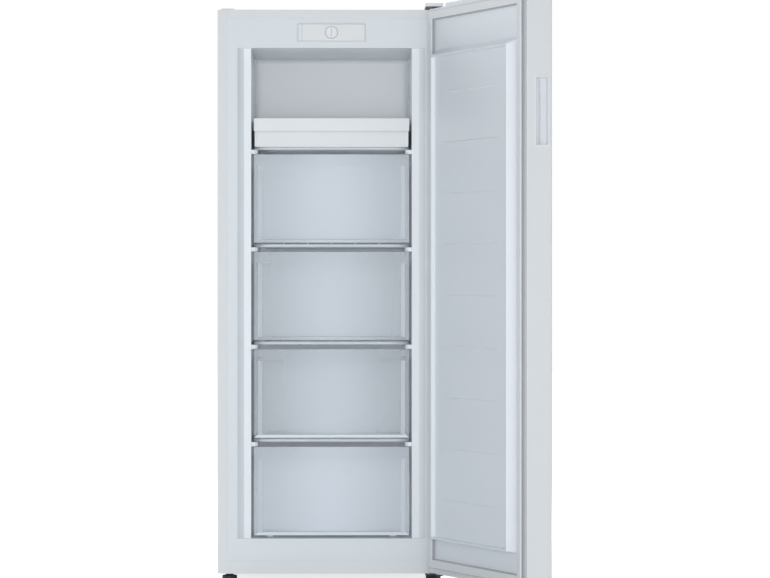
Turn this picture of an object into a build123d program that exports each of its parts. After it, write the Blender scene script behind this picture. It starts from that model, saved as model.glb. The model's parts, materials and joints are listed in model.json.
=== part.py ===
from build123d import *
import math
import os

# A tall, narrow upright freezer with one door, four drawers and a flat tray. The floor is z = 0, x = 0 is
# the middle of the cabinet's width, y = 0 the middle of its depth, and the front looks towards -y.
# The door is drawn shut and then swung to where it stands open.

# ---- Steel cabinet, mm ----
CABINET_WIDTH = 550
CABINET_DEPTH = 508
CABINET_TOP = 1382.2
CABINET_LIFT = 20
SHEET = 0.8
CORNER_RADIUS = 4.8
SIDE_FLANGE = 22.5
TOP_FLANGE = 20
SEAM_GAP = 1
SEAM_LAP = 6
BOTTOM_RAIL_HEIGHT = 30
BOTTOM_RAIL_RETURN = 12
BASE_RAIL_WIDTH = 55
BASE_RAIL_WALL = 1.5

# ---- Plastic liner ----
LINER_WALL = 1.5
SIDE_INSULATION = 80.5
TOP_INSULATION = 92.3
BOTTOM_INSULATION = 84.5
REAR_INSULATION = 93
CAVITY_CORNER = 15
CEILING_RADIUS = 12
MOUTH_STRIP = 17
MOUTH_TAPER = 15.5
MOUTH_DEPTH = 20
HUMP_HEIGHT = 175.5
HUMP_CHAMFER = 30
RUNNER_HEIGHT = 5.7
RUNNER_WIDTH = 14
RUNNER_INSET = 45
RUNNER_SETBACK = 75
LEDGE_WIDTH = 15
LEDGE_HEIGHT = 10
LEDGE_SETBACK = 36
LEDGE_CLEARANCE = 1.2
LEDGE_BEVEL = 6
SHAFT_HOLE_GAP = 1

# ---- Compressor bay ----
BAY_DEPTH = 209
BAY_WALL = 34
BAY_ROOF = 54.2
PLATE_THICKNESS = 2
PLATE_LIFT = 4
PLATE_LIP = 12
PLATE_MARGIN = 8
COMPRESSOR_SHIFT = 30
COMPRESSOR_LENGTH = 190
COMPRESSOR_DEPTH = 144
COMPRESSOR_HEIGHT = 158
COMPRESSOR_DOME = 34
COMPRESSOR_ROUND = 64
WELD_BAND = 2.5
WELD_RISE = 0.48
FOOT_PLATE = 3
GROMMET_RADIUS = 11
GROMMET_HEIGHT = 12
STUD_RADIUS = 4
STUD_HEAD = 3
STUD_FLATS = 12
HOLE_GAP = 0.5
RELAY_SIZE = (30, 48, 54)
RELAY_CORNER = 3
RELAY_RISE = 0.4
PIPE_RADIUS = 4
PIPE_BEND = 16
DRIER_RADIUS = 9
DRIER_LENGTH = 90
CAPILLARY_RADIUS = 1.5
CAPILLARY_LENGTH = 30
STUB_LENGTH = 20
SUCTION_RISE = 0.62
DISCHARGE_RISE = 0.36
PIPE_SPREAD = 0.12

# ---- Places of the pipes in the bay, in bend radii ----
SUCTION_OFFSET = 2
DISCHARGE_OFFSET = 3.5
DRIER_OFFSET = 5.5
RETURN_OFFSET = 2.2
RETURN_DROP = 1.2

# ---- Evaporator shelves ----
TUBE_WIDTH = 8
WIRE_WIDTH = 3
TUBE_PASSES = 5
TUBE_SIDE_GAP = 3.9
TUBE_LANE = 24
TUBE_SETBACK = 52
TUBE_BACK_GAP = 42
WIRE_SPACING = 58
WIRE_COUNT = 5
WIRE_OVERHANG = 6
TUBE_ENTRY = 8
TUBE_HOLE_GAP = 0.5

# ---- Drawers and tray ----
DRAWER_COUNT = 4
DRAWER_HEIGHT = 214
DRAWER_SIDE_GAP = 6.3
DRAWER_SETBACK = 30
DRAWER_BACK_GAP = 20
HUMP_GAP = 10
SLIDE_GAP = 0.3
FRONT_DEPTH = 17
FRONT_WALL = 3
FRAME_WIDTH = 10
FRAME_BEVEL = 9.5
FRAME_FOOT = 7
FRAME_FOOT_BEVEL = 2
GRIP_HEIGHT = 26
GRIP_LIP = 2.5
GRIP_OVERCUT = 2
WINDOW_CORNER = 3
TUB_WALL = 2.2
TUB_INSET = 4
TUB_TAPER = 4
TUB_DROP = 24
TUB_RIM = 3
TRAY_HEIGHT = 65
TRAY_LIP_HEIGHT = 31
TRAY_OVERHANG = 12
TRAY_SKIRT = 4
TRAY_INSET = 1.6
TRAY_CORNER = 3

# ---- Door ----
DOOR_THICKNESS = 64
DOOR_OVERLAP = 6.7
DOOR_FLOOR_GAP = 4.1
DOOR_FLANGE = 12
GASKET_GAP = 12
GASKET_HEIGHT = 11.2
GASKET_WIDTH = 25
GASKET_FOOT = 1.6
GASKET_NECK = (3.4, 6.5)
GASKET_BULB = (5.8, 2.5)
PLUG_HEIGHT = 24
PLUG_SIDE_SLOPE = 11
PLUG_BOTTOM_SLOPE = 5
PLUG_TOP_SLOPE = 14
PLUG_SIDE_GAP = 2
PLUG_TOP_GAP = 10
PLUG_FLOOR_GAP = 1
PLUG_CREST = 4
PLUG_RECESS = 9
PLUG_RECESS_RUN = 2
PLUG_CORNER = 8
PLUG_CREST_CORNER = 4
PLUG_BRIM_CORNER = 3
PLUG_FLOOR_CORNER = 2
RIB_END_GAP = 85
RIB_LENGTH = 300
RIB_SPACING = 121
RIB_WIDTH = 5
RIB_HEIGHT = 1.6
RIB_OFFSET = 14.5
CUP_DROP = 199.2
CUP_LENGTH = 159.4
CUP_WIDTH = 37.3
CUP_SETBACK = 18.9
CUP_DEPTH = 20
CUP_WALL = 1.5
CUP_RIM = 2
CUP_SCOOP = 7.5
CUP_CORNER = 3
CUP_BEAD = 1
REST_OPENING = 112

# ---- Hinges ----
HINGE_INSET = 15
HINGE_STANDOFF = 32
HINGE_PLATE = 3
HINGE_PIN_RADIUS = 4
HINGE_PIN_LENGTH = 12
HINGE_ARM = 9
HINGE_PAD = 41
HINGE_PAD_DEPTH = 54
HINGE_PAD_SETBACK = 4
HINGE_CORNER = 4
PIN_END_GAP = 0.5
PIN_CLEARANCE = 0.05
BUSH_WALL = 4
BUSH_LENGTH = 14
NOTCH_LENGTH = 95
NOTCH_DEPTH = 40
NOTCH_GAP = 0.7
COLLAR_RADIUS = 8
COVER_HEIGHT = 12.5
COVER_WALL = 1.8
COVER_MARGIN = 2
COVER_CORNER = 5
COVER_SLOT = 4.8
COVER_BEVEL = 1
SCREW_RADIUS = 2.5
SCREW_LENGTH = 12
SCREW_HEAD = 3.5
SCREW_FLATS = 8
SCREW_SPACE = 6
TOP_SCREW_PLACES = (0.3, 0.78)
PLUG_COVER = (30, 46, 3.1)

# ---- Thermostat ----
FASCIA_WIDTH = 165.5
FASCIA_HEIGHT = 44.7
FASCIA_PROUD = 3
FASCIA_DROP = 32.4
FASCIA_CORNER = 2.5
FASCIA_BEVEL = 0.9
LINE_INSET = 1.8
GROOVE_PLACE = 11
GROOVE_WIDTH = 1
GROOVE_DEPTH = 0.8
WELL_GAP = 1.4
WELL_DEPTH = 2
KNOB_RADIUS = 13.8
KNOB_DEPTH = 7
KNOB_LOBES = 12
KNOB_POINTER = (2.2, 1)
POINTER_REACH = 0.75
LOBE_OFFSET = 1.6
LOBE_RADIUS = 2.4
SHAFT_RADIUS = 3
SHAFT_GRIP = 4.5
SHAFT_REACH = 6
SHAFT_END_GAP = 2
THERMOSTAT_SIZE = (44, 36, 34)

# ---- Feet ----
FOOT_SETBACK = 28
FOOT_RADIUS = 18
FOOT_HEIGHT = 15
FOOT_NECK = 9.5
FOOT_STUD = 5
FOOT_STUD_LENGTH = 22
FOOT_HOLE_GAP = 1.5
FOOT_BEVEL = 1.5
NUT_FLATS = 17
NUT_HEIGHT = 8
REAR_FOOT_RADIUS = 15
REAR_FOOT_SETBACK = 40

# ---- Places worked out from those sizes ----
half_width = CABINET_WIDTH / 2
front = -CABINET_DEPTH / 2
back = CABINET_DEPTH / 2
sheet_inside = half_width - SHEET
flange_edge = half_width - SIDE_FLANGE
base_top = CABINET_LIFT + BOTTOM_RAIL_HEIGHT

cavity_half = half_width - SIDE_INSULATION
cavity_floor = CABINET_LIFT + BOTTOM_INSULATION
cavity_top = CABINET_TOP - TOP_INSULATION
cavity_back = back - REAR_INSULATION
mouth_half = cavity_half + MOUTH_STRIP + MOUTH_TAPER
hump_top = cavity_floor + HUMP_HEIGHT

bay_front = back - BAY_DEPTH
hump_front = bay_front - BAY_WALL
bay_roof = hump_top - BAY_ROOF

drawer_half = cavity_half - DRAWER_SIDE_GAP
drawer_front = front + DRAWER_SETBACK
shelf_zone = LEDGE_CLEARANCE + LEDGE_HEIGHT + TUBE_WIDTH + WIRE_WIDTH + SLIDE_GAP
tub_front = drawer_front + FRONT_DEPTH
tube_corner = TUBE_WIDTH / math.sqrt(3)
tube_reach = cavity_half - TUBE_SIDE_GAP - tube_corner
tube_end = cavity_back + LINER_WALL + TUBE_ENTRY

door_inner = front - GASKET_GAP
door_outer = door_inner - DOOR_THICKNESS
door_bottom = CABINET_LIFT + DOOR_FLOOR_GAP
door_top = CABINET_TOP + DOOR_OVERLAP
hinge_x = half_width - HINGE_INSET
hinge_y = front - HINGE_STANDOFF
notch_floor = CABINET_TOP - NOTCH_GAP
bush_radius = HINGE_PIN_RADIUS + PIN_CLEARANCE + BUSH_WALL

plug_half = mouth_half - PLUG_SIDE_GAP
plug_bottom = cavity_floor + PLUG_FLOOR_GAP
plug_top = cavity_top - PLUG_TOP_GAP

compressor_y = (bay_front + back) / 2
plate_top = CABINET_LIFT + PLATE_LIFT + PLATE_THICKNESS
can_bottom = plate_top + GROMMET_HEIGHT + FOOT_PLATE
relay_z = can_bottom + COMPRESSOR_HEIGHT * RELAY_RISE
suction_z = can_bottom + COMPRESSOR_HEIGHT * SUCTION_RISE
discharge_z = can_bottom + COMPRESSOR_HEIGHT * DISCHARGE_RISE
stub_end = COMPRESSOR_SHIFT - COMPRESSOR_LENGTH / 2 - STUB_LENGTH
pipe_offset = COMPRESSOR_DEPTH * PIPE_SPREAD
drier_x = stub_end - DRIER_OFFSET * PIPE_BEND
drier_top = bay_roof - CAPILLARY_LENGTH

foot_x = sheet_inside - BASE_RAIL_WIDTH / 2
foot_y = front + FOOT_SETBACK
rail_inside = sheet_inside - BASE_RAIL_WIDTH
knob_z = CABINET_TOP - TOP_FLANGE - FASCIA_DROP - FASCIA_PROUD
fascia_face = front - FASCIA_PROUD
knob_back = fascia_face + WELL_DEPTH - SLIDE_GAP


def drawer_floor(level):
    """Underside of the drawer at a level, counted up from the bottom, or of the tray over the last one."""
    return cavity_floor + RUNNER_HEIGHT + SLIDE_GAP + level * (DRAWER_HEIGHT + shelf_zone)


def block(x0, x1, y0, y1, z0, z1):
    """A box between two opposite corners."""
    return Pos((x0 + x1) / 2, (y0 + y1) / 2, (z0 + z1) / 2) * Box(x1 - x0, y1 - y0, z1 - z0)


def upright(x, y, z0, z1, radius):
    """A round bar or hole standing between two heights."""
    return Pos(x, y, (z0 + z1) / 2) * Cylinder(radius, z1 - z0)


def bar_in_y(x, z, y0, y1, radius):
    """A round bar or hole running front to back."""
    return Pos(x, (y0 + y1) / 2, z) * Rot(90, 0, 0) * Cylinder(radius, y1 - y0)


def hexagon(x, y, z0, z1, flats):
    """A hexagonal head or nut, given across its flats."""
    return Pos(x, y, z0) * extrude(RegularPolygon(flats / 2, 6, major_radius=False), z1 - z0)


def rounded_block(x0, x1, y0, y1, z0, z1, radius):
    """A box whose four upright edges are round."""
    outline = RectangleRounded(x1 - x0, y1 - y0, radius)
    return Pos((x0 + x1) / 2, (y0 + y1) / 2, z0) * extrude(outline, z1 - z0)


def rounded_slab(x0, x1, z0, z1, y0, y1, radius):
    """A plate standing upright across the front, its four corners round."""
    outline = RectangleRounded(x1 - x0, z1 - z0, radius)
    return Pos((x0 + x1) / 2, y1, (z0 + z1) / 2) * Rot(90, 0, 0) * extrude(outline, y1 - y0)


def side_prism(points, half_length):
    """A solid with the given outline in side view (y, z), as long to the left as to the right."""
    outline = Plane.YZ * make_face(Polyline(*points, close=True))
    return extrude(outline, half_length, both=True)


def frustum(low, high, y_low, y_high):
    """A rectangle with sloping sides between two (half width, z0, z1, corner radius) outlines."""
    faces = []
    for (half, z0, z1, radius), y in ((low, y_low), (high, y_high)):
        outline = RectangleRounded(2 * half, z1 - z0, radius)
        faces.append(Pos(0, y, (z0 + z1) / 2) * Rot(90, 0, 0) * outline)
    return loft(faces, ruled=True)


def pipe(points, radius, bend):
    """A tube's eight-sided solid along straight runs joined by bends."""
    path = FilletPolyline(*points, radius=bend)
    start = Plane(origin=path @ 0, z_dir=path % 0)
    return sweep(start * RegularPolygon(radius, 8, major_radius=False), path)


def top_screw_places():
    """The two screws, one behind the other, that hold the top hinge plate down."""
    x = hinge_x + HINGE_ARM - HINGE_PAD / 2
    y = front + HINGE_PAD_SETBACK
    return [(x, y + HINGE_PAD_DEPTH * share) for share in TOP_SCREW_PLACES]


def bottom_screw_places():
    """The two screws behind the right front foot that hold the bottom hinge plate up."""
    y = foot_y + FOOT_RADIUS + SCREW_FLATS + SCREW_SPACE
    return [(foot_x - HINGE_ARM, y), (foot_x + HINGE_ARM, y)]


# ---- Cabinet ----
def cabinet_block(inset):
    """The cabinet's outside with its sides and top moved in, open to the front and back."""
    solid = block(
        -half_width + inset, half_width - inset, front, back, CABINET_LIFT, CABINET_TOP - inset
    )
    top_edges = solid.edges().filter_by(Axis.Y).group_by(Axis.Z)[-1]
    return fillet(top_edges, CORNER_RADIUS - inset)


def outer_wrapper():
    """One bent sheet for both sides and the top, with a narrow flange turned in round the front."""
    inside = cabinet_block(SHEET) - block(
        -half_width, half_width, front, front + SHEET, CABINET_LIFT, CABINET_TOP
    )
    window = block(
        -flange_edge, flange_edge, front, front + SHEET, CABINET_LIFT, CABINET_TOP - TOP_FLANGE
    )
    wrapper = cabinet_block(0) - inside - window
    for x, y in top_screw_places():
        wrapper -= upright(x, y, CABINET_TOP - SHEET, CABINET_TOP, SCREW_RADIUS)
    return wrapper


def bay_prism(grow, half_length):
    """The space of the compressor bay, its front wall and roof moved out by grow."""
    slant = grow * (math.sqrt(2) - 1)
    outline = [
        (bay_front - grow, CABINET_LIFT),
        (bay_front - grow, bay_roof - HUMP_CHAMFER + slant),
        (bay_front + HUMP_CHAMFER - slant, bay_roof + grow),
        (back, bay_roof + grow),
        (back, CABINET_LIFT),
    ]
    return side_prism(outline, half_length)


def base_panel():
    """The floor sheet under the insulation, bent up and back over the compressor bay."""
    floor_sheet = block(
        -sheet_inside, sheet_inside, front + SHEET, bay_front, base_top - SHEET, base_top
    )
    step = bay_prism(SHEET, sheet_inside) - bay_prism(0, half_width)
    step -= block(-half_width, half_width, front, back, CABINET_LIFT, base_top - SHEET)
    return floor_sheet + step


def back_panel():
    """The flat rear sheet above the compressor bay."""
    return cabinet_block(SHEET) & block(
        -half_width, half_width, back - SHEET, back, bay_roof + SHEET, CABINET_TOP
    )


def bottom_rail():
    """The cross rail under the door: a plate between the side flanges with its lower edge turned in."""
    face = block(-flange_edge, flange_edge, front, front + SHEET, CABINET_LIFT, base_top)
    turned = block(
        -flange_edge,
        flange_edge,
        front,
        front + BOTTOM_RAIL_RETURN,
        CABINET_LIFT,
        CABINET_LIFT + SHEET,
    )
    return face + turned


def base_rail(side):
    """A box rail along the bottom of one side, drilled for its front foot's stud."""
    y0 = front + BOTTOM_RAIL_RETURN
    z1 = base_top - SHEET
    rail = block(rail_inside, sheet_inside, y0, back, CABINET_LIFT, z1)
    wall = BASE_RAIL_WALL
    rail -= block(
        rail_inside + wall, sheet_inside - wall, y0, back, CABINET_LIFT + wall, z1 - wall
    )
    rail -= upright(foot_x, foot_y, CABINET_LIFT, CABINET_LIFT + wall, FOOT_STUD + HOLE_GAP)
    for x, y in bottom_screw_places():
        rail -= upright(x, y, CABINET_LIFT, CABINET_LIFT + wall, SCREW_RADIUS)
    return rail if side > 0 else mirror(rail, Plane.YZ)


def foot_nut(side):
    """The nut welded over the foot's hole inside the base rail."""
    z0 = CABINET_LIFT + BASE_RAIL_WALL
    nut = hexagon(side * foot_x, foot_y, z0, z0 + NUT_HEIGHT, NUT_FLATS)
    return nut - upright(side * foot_x, foot_y, z0, z0 + NUT_HEIGHT, FOOT_STUD + PIN_CLEARANCE)


def cavity(grow):
    """The cold space, its walls moved out by grow: the plan outline crossed with the side outline."""
    slope = MOUTH_TAPER / MOUTH_DEPTH
    at_front = mouth_half + grow * math.hypot(1, slope)
    at_step = at_front - slope * (MOUTH_DEPTH + grow)
    step = front + MOUTH_DEPTH + grow
    rear = cavity_back + grow
    wall = cavity_half + grow
    right = [(at_front, front), (at_step, step), (wall, step), (wall, rear)]
    left = [(-x, y) for x, y in reversed(right)]
    corner = CAVITY_CORNER + grow
    plan = FilletPolyline(*right, *left, radius=[0, 0, 0, corner, corner, 0, 0, 0], close=True)
    floor = cavity_floor - grow
    hump = hump_front + grow
    lift = hump_top - grow
    chamfer = HUMP_CHAMFER
    profile = [
        (front, floor),
        (hump, floor),
        (hump, lift - chamfer),
        (hump + chamfer, lift),
        (rear, lift),
        (rear, cavity_top + grow),
        (front, cavity_top + grow),
    ]
    radii = [0, CEILING_RADIUS + grow, 0, 0, 0, CEILING_RADIUS + grow, 0]
    side = Plane.YZ * make_face(FilletPolyline(*profile, radius=radii, close=True))
    height = cavity_top - cavity_floor + 2 * grow
    tower = Pos(0, 0, floor) * extrude(make_face(plan), height)
    return tower & extrude(side, at_front, both=True)


def liner_shell(grow):
    """The liner's front flange and walls as one solid, without the cold space.

    The flange stops just short of the steel, and its edge steps back and laps under the steel.
    """
    edge = flange_edge - SEAM_GAP
    low = base_top + SEAM_GAP
    high = CABINET_TOP - TOP_FLANGE - SEAM_GAP
    flange = block(-edge, edge, front, front + grow, low, high)
    y0 = front + SHEET
    step = SEAM_GAP + SEAM_LAP
    lap = block(-edge - step, edge + step, y0, y0 + grow, base_top, high + step)
    lap -= block(-edge + grow, edge - grow, y0, y0 + grow, low + grow, high - grow)
    return flange + lap + cavity(grow)


def ledge(level, side):
    """The rib moulded into one side wall that carries an evaporator shelf."""
    z0 = drawer_floor(level) + DRAWER_HEIGHT + LEDGE_CLEARANCE
    inner = cavity_half - LEDGE_WIDTH
    bar = block(
        inner, cavity_half, front + LEDGE_SETBACK, cavity_back - CAVITY_CORNER, z0, z0 + LEDGE_HEIGHT
    )
    bar = chamfer(bar.edges().filter_by(Axis.Z).group_by(Axis.X)[0], LEDGE_BEVEL)
    return bar if side > 0 else mirror(bar, Plane.YZ)


def inner_liner():
    """The vacuum-formed white liner with its ledges and floor runners."""
    liner = liner_shell(LINER_WALL) - cavity(0)
    for level in range(DRAWER_COUNT):
        for side in (-1, 1):
            liner += ledge(level, side)
    for side in (-1, 1):
        x = side * (cavity_half - RUNNER_INSET)
        liner += block(
            x - RUNNER_WIDTH / 2,
            x + RUNNER_WIDTH / 2,
            front + RUNNER_SETBACK,
            hump_front - CEILING_RADIUS,
            cavity_floor,
            cavity_floor + RUNNER_HEIGHT,
        )
    for level in range(DRAWER_COUNT):
        liner -= tube_holes(level)
    return liner - bar_in_y(0, knob_z, front, front + LINER_WALL, SHAFT_RADIUS + SHAFT_HOLE_GAP)


def cabinet_foam():
    """The foam between the steel and the liner, with room for the thermostat and the hinge screws."""
    foam = cabinet_block(SHEET) & block(
        -half_width, half_width, front + SHEET, back - SHEET, base_top, CABINET_TOP
    )
    foam -= liner_shell(LINER_WALL)
    foam -= bay_prism(SHEET, half_width)
    foam -= thermostat_space()
    for level in range(DRAWER_COUNT):
        foam -= tube_holes(level)
    for x, y in top_screw_places():
        foam -= upright(x, y, CABINET_TOP - SCREW_LENGTH, CABINET_TOP, SCREW_RADIUS)
    return foam


# ---- Compressor bay ----
def compressor_plate():
    """The tray-shaped plate across the bay, with turned-up front and back edges and four stud holes."""
    z0 = CABINET_LIFT + PLATE_LIFT
    y0 = bay_front + PLATE_MARGIN
    y1 = back - PLATE_MARGIN
    plate = block(-rail_inside, rail_inside, y0, y1, z0, z0 + PLATE_THICKNESS)
    for y in (y0, y1 - PLATE_THICKNESS):
        plate += block(-rail_inside, rail_inside, y, y + PLATE_THICKNESS, z0, z0 + PLATE_LIP)
    return plate


def compressor_feet():
    """Centres of the four rubber feet under the compressor."""
    dx = COMPRESSOR_LENGTH / 2 - GROMMET_RADIUS
    dy = COMPRESSOR_DEPTH / 2 - GROMMET_RADIUS
    return [
        (COMPRESSOR_SHIFT + sx * dx, compressor_y + sy * dy) for sx in (-1, 1) for sy in (-1, 1)
    ]


def compressor():
    """The welded can with its foot plate, the flat for the terminals and two pipe stubs."""
    band = RectangleRounded(COMPRESSOR_LENGTH, COMPRESSOR_DEPTH, COMPRESSOR_ROUND)
    can = extrude(offset(band, -WELD_BAND), COMPRESSOR_HEIGHT)
    can = fillet(can.edges().group_by(Axis.Z)[-1], COMPRESSOR_DOME)
    can += Pos(0, 0, COMPRESSOR_HEIGHT * WELD_RISE) * extrude(band, 2 * WELD_BAND)
    shell = Pos(COMPRESSOR_SHIFT, compressor_y, can_bottom) * can
    shell += rounded_block(
        COMPRESSOR_SHIFT - COMPRESSOR_LENGTH / 2,
        COMPRESSOR_SHIFT + COMPRESSOR_LENGTH / 2,
        compressor_y - COMPRESSOR_DEPTH / 2,
        compressor_y + COMPRESSOR_DEPTH / 2,
        can_bottom - FOOT_PLATE,
        can_bottom,
        GROMMET_RADIUS,
    )
    for x, y in compressor_feet():
        shell -= upright(x, y, can_bottom - FOOT_PLATE, can_bottom, STUD_RADIUS + HOLE_GAP)
    width, height = RELAY_SIZE[1:]
    shell += block(
        COMPRESSOR_SHIFT,
        COMPRESSOR_SHIFT + COMPRESSOR_LENGTH / 2,
        compressor_y - width / 2,
        compressor_y + width / 2,
        relay_z - height / 2,
        relay_z + height / 2,
    )
    for z, dy in ((suction_z, pipe_offset), (discharge_z, -pipe_offset)):
        length = COMPRESSOR_SHIFT - stub_end
        stub = Pos(stub_end + length / 2, compressor_y + dy, z) * Rot(0, 90, 0)
        shell += stub * Cylinder(PIPE_RADIUS, length)
    return shell


def relay_cover():
    """The box over the compressor's terminals and starting relay."""
    depth, width, height = RELAY_SIZE
    x0 = COMPRESSOR_SHIFT + COMPRESSOR_LENGTH / 2
    y = compressor_y
    box = block(
        x0, x0 + depth, y - width / 2, y + width / 2, relay_z - height / 2, relay_z + height / 2
    )
    return fillet(box.faces().sort_by(Axis.X)[-1].edges(), RELAY_CORNER)


def compressor_grommets():
    """Four rubber feet between the compressor and its plate."""
    rings = []
    for x, y in compressor_feet():
        ring = upright(x, y, plate_top, plate_top + GROMMET_HEIGHT, GROMMET_RADIUS)
        rings.append(ring - upright(x, y, plate_top, plate_top + GROMMET_HEIGHT, STUD_RADIUS))
    return Compound(children=rings)


def compressor_studs():
    """Four headed studs standing on the plate, through the rubber feet and the compressor's foot plate."""
    studs = []
    for x, y in compressor_feet():
        stud = upright(x, y, plate_top, can_bottom, STUD_RADIUS)
        studs.append(stud + hexagon(x, y, can_bottom, can_bottom + STUD_HEAD, STUD_FLATS))
    return Compound(children=studs)


def suction_pipe():
    """The pipe that brings the gas back from the evaporator, down through the bay's roof."""
    y = compressor_y + pipe_offset
    x = stub_end - SUCTION_OFFSET * PIPE_BEND
    points = [(stub_end, y, suction_z), (x, y, suction_z), (x, y, bay_roof)]
    return pipe(points, PIPE_RADIUS, PIPE_BEND)


def discharge_pipe():
    """The pipe that takes the hot gas up to the condenser behind the side sheets."""
    y = compressor_y - pipe_offset
    x = stub_end - DISCHARGE_OFFSET * PIPE_BEND
    points = [(stub_end, y, discharge_z), (x, y, discharge_z), (x, y, bay_roof)]
    return pipe(points, PIPE_RADIUS, PIPE_BEND)


def filter_drier():
    """The copper drier: a round body drawn in to a neck at each end."""
    neck = PIPE_RADIUS
    cone = DRIER_RADIUS - neck
    half = DRIER_LENGTH / 2
    outline = Polyline(
        (0, -half),
        (neck, -half),
        (DRIER_RADIUS, -half + 2 * cone),
        (DRIER_RADIUS, half - 2 * cone),
        (neck, half),
        (0, half),
        close=True,
    )
    body = revolve(Plane.XZ * make_face(outline), Axis.Z)
    return Pos(drier_x, compressor_y, drier_top - half) * body


def drier_pipe():
    """The condenser's return pipe, round a half turn into the drier from below."""
    low = drier_top - DRIER_LENGTH
    x = drier_x - RETURN_OFFSET * PIPE_BEND
    y = compressor_y
    floor = low - RETURN_DROP * PIPE_BEND
    points = [(drier_x, y, low), (drier_x, y, floor), (x, y, floor), (x, y, bay_roof)]
    return pipe(points, PIPE_RADIUS, PIPE_BEND)


def capillary():
    """The thin tube from the drier up into the insulation."""
    return upright(drier_x, compressor_y, drier_top, bay_roof, CAPILLARY_RADIUS)


# ---- Evaporator shelves ----
def tube_height(level):
    """Height of the middle of the tube in the shelf over a drawer."""
    ledge_top = drawer_floor(level) + DRAWER_HEIGHT + LEDGE_CLEARANCE + LEDGE_HEIGHT
    return ledge_top + TUBE_WIDTH / 2


def tube_holes(level):
    """The two square holes in the liner's rear wall that an evaporator shelf's tube goes through."""
    z = tube_height(level)
    half = tube_corner + TUBE_HOLE_GAP
    y0 = cavity_back - CAVITY_CORNER
    right = tube_reach if TUBE_PASSES % 2 else TUBE_LANE - tube_reach
    holes = [block(x - half, x + half, y0, tube_end, z - half, z + half) for x in (-tube_reach, right)]
    return holes[0] + holes[1]


def evaporator_path(z):
    """One tube: forward along the left wall, to and fro across the shelf, and back into the rear wall."""
    outer = tube_reach
    inner = outer - TUBE_LANE
    first = front + TUBE_SETBACK
    pitch = (cavity_back - TUBE_BACK_GAP - first) / (TUBE_PASSES - 1)
    points = [(-outer, tube_end, z)]
    for number in range(TUBE_PASSES):
        y = first + number * pitch
        near = -inner if number else -outer
        ends = (near, outer) if number % 2 == 0 else (outer, near)
        points += [(ends[0], y, z), (ends[1], y, z)]
    points.append((points[-1][0], tube_end, z))
    bend = min(pitch / 2, TUBE_BACK_GAP) - 1
    return FilletPolyline(*points, radius=bend)


def evaporator_shelf(level):
    """The cold shelf over a drawer: a flattened serpentine tube with straight wires welded across it.

    The tube is six-sided, so that it lies flat on the ledges and the wires lie flat on it.
    """
    path = evaporator_path(tube_height(level))
    start = Plane(origin=path @ 0, x_dir=(1, 0, 0), z_dir=path % 0)
    section = RegularPolygon(TUBE_WIDTH / 2, 6, major_radius=False)
    shelf = [sweep(start * section, path)]
    y0 = front + TUBE_SETBACK - WIRE_OVERHANG
    y1 = cavity_back - TUBE_BACK_GAP + WIRE_OVERHANG
    z0 = tube_height(level) + TUBE_WIDTH / 2
    for number in range(WIRE_COUNT):
        x = (number - (WIRE_COUNT - 1) / 2) * WIRE_SPACING
        shelf.append(block(x - WIRE_WIDTH / 2, x + WIRE_WIDTH / 2, y0, y1, z0, z0 + WIRE_WIDTH))
    return Compound(children=shelf)


# ---- Thermostat ----
def thermostat_space():
    """The block that the thermostat fills behind the liner's front."""
    width, depth, height = THERMOSTAT_SIZE
    y0 = front + LINER_WALL
    return block(-width / 2, width / 2, y0, y0 + depth, knob_z - height / 2, knob_z + height / 2)


def thermostat_body():
    """The thermostat's case, with the bore its shaft turns in."""
    y0 = front + LINER_WALL
    bore = bar_in_y(0, knob_z, y0, y0 + SHAFT_REACH + SHAFT_END_GAP, SHAFT_RADIUS + PIN_CLEARANCE)
    return thermostat_space() - bore


def thermostat_shaft():
    """The shaft from inside the thermostat out through the fascia into the knob."""
    return bar_in_y(0, knob_z, knob_back - SHAFT_GRIP, front + LINER_WALL + SHAFT_REACH, SHAFT_RADIUS)


def control_fascia():
    """The white plate over the door opening: fine grooves round it and near its left end, and a knob well."""
    z0 = knob_z - FASCIA_HEIGHT / 2
    z1 = knob_z + FASCIA_HEIGHT / 2
    half = FASCIA_WIDTH / 2
    plate = rounded_slab(-half, half, z0, z1, fascia_face, front, FASCIA_CORNER)
    plate = chamfer(plate.faces().sort_by(Axis.Y)[0].edges(), FASCIA_BEVEL)
    y1 = fascia_face + GROOVE_DEPTH
    inset = LINE_INSET
    line = block(-half + inset, half - inset, fascia_face, y1, z0 + inset, z1 - inset)
    inset += GROOVE_WIDTH
    line -= block(-half + inset, half - inset, fascia_face, y1, z0 + inset, z1 - inset)
    x0 = -half + GROOVE_PLACE
    line += block(x0, x0 + GROOVE_WIDTH, fascia_face, y1, z0 + inset, z1 - inset)
    plate -= line
    plate -= bar_in_y(0, knob_z, fascia_face, fascia_face + WELL_DEPTH, KNOB_RADIUS + WELL_GAP)
    return plate - bar_in_y(0, knob_z, fascia_face, front, SHAFT_RADIUS + SHAFT_HOLE_GAP)


def thermostat_knob():
    """The round knob with shallow finger lobes round its edge and a raised pointer line."""
    y1 = knob_back
    y0 = y1 - KNOB_DEPTH
    knob = bar_in_y(0, knob_z, y0, y1, KNOB_RADIUS)
    for number in range(KNOB_LOBES):
        angle = 2 * math.pi * (number + 0.5) / KNOB_LOBES
        reach = KNOB_RADIUS + LOBE_OFFSET
        x = reach * math.cos(angle)
        z = knob_z + reach * math.sin(angle)
        knob -= bar_in_y(x, z, y0, y1, LOBE_RADIUS)
    width, height = KNOB_POINTER
    reach = KNOB_RADIUS * POINTER_REACH
    knob += block(-width / 2, width / 2, y0 - height, y0, knob_z - reach, knob_z + reach)
    return knob - bar_in_y(0, knob_z, y1 - SHAFT_GRIP, y1, SHAFT_RADIUS)


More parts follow.
